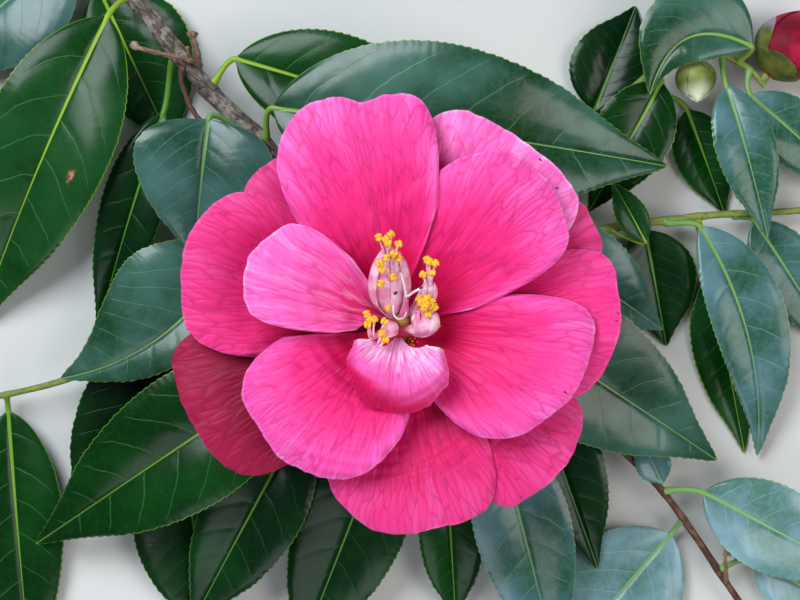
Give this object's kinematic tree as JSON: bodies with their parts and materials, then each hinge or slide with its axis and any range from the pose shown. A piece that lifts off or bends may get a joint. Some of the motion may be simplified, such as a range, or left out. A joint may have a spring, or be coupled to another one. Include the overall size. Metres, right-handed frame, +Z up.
{
  "type": "cut camellia branch",
  "caption": "Cut camellia branch lying flat, with a wide open pink bloom facing up, plump buds on a side twig and glossy pointed leaves all round.",
  "frame": {"origin": "middle of the branch's footprint, on the surface it lies on", "axes": "+X to the right and +Y to the top of the branch as seen from above with its cut end at the upper left, +Z up out of the open bloom"},
  "size_m": [0.2608, 0.2218, 0.0731],
  "materials": {
    "bark": "rough grey-brown bark",
    "young_twig": "smooth yellow-green young bark",
    "leaf": "glossy dark green with pale veins",
    "petal": "soft satin pink with darker veins",
    "stamen": "matte pale pink with yellow anthers",
    "green_scale": "satin yellow-green scales",
    "pink_bud": "satin deep pink over olive scales"
  },
  "bodies": {
    "root": {"main_branch": "bark", "twig_left": "young_twig", "twig_lower_left": "young_twig", "twig_bottom": "young_twig", "twig_right": "bark", "twig_upper_right": "young_twig", "twig_buds": "young_twig", "leaf_top": "leaf", "leaf_top_back": "leaf", "leaf_upper_left": "leaf", "leaf_corner": "leaf", "leaf_behind_branch": "leaf", "leaf_inner_left": "leaf", "leaf_left_shade": "leaf", "leaf_left": "leaf", "leaf_left_under": "leaf", "leaf_lower_left": "leaf", "leaf_far_left": "leaf", "leaf_bottom_far_left": "leaf", "leaf_bottom_left": "leaf", "leaf_bottom": "leaf", "leaf_bottom_centre": "leaf", "leaf_bottom_right": "leaf", "leaf_right_low": "leaf", "leaf_right": "leaf", "leaf_right_back": "leaf", "leaf_upper_right": "leaf", "leaf_upper_right_back": "leaf", "leaf_bud_cover": "leaf", "leaf_beside_bud": "leaf", "leaf_below_bud": "leaf", "leaf_right_top": "leaf", "leaf_right_large": "leaf", "leaf_right_edge": "leaf", "leaf_right_middle": "leaf", "leaf_low_right": "leaf", "leaf_low_right_front": "leaf", "leaf_low_right_end": "leaf", "receptacle": "green_scale", "petal_back_right": "petal", "petal_back_left": "petal", "petal_outer_lower_left": "petal", "petal_outer_lower_right": "petal", "petal_outer_bottom": "petal", "petal_outer_upper_right": "petal", "petal_outer_right": "petal", "petal_outer_left": "petal", "petal_inner_lower_right": "petal", "petal_inner_upper_right": "petal", "petal_inner_top": "petal", "petal_inner_lower_left": "petal", "petal_inner_left": "petal", "petaloid": "petal", "stamens_upper_left": "stamen", "stamens_right": "stamen", "stamens_lower_right": "stamen", "stamens_lower_left": "stamen", "pistil": "stamen", "bud_green": "green_scale", "bud_pink": "pink_bud"}
  },
  "joints": []
}
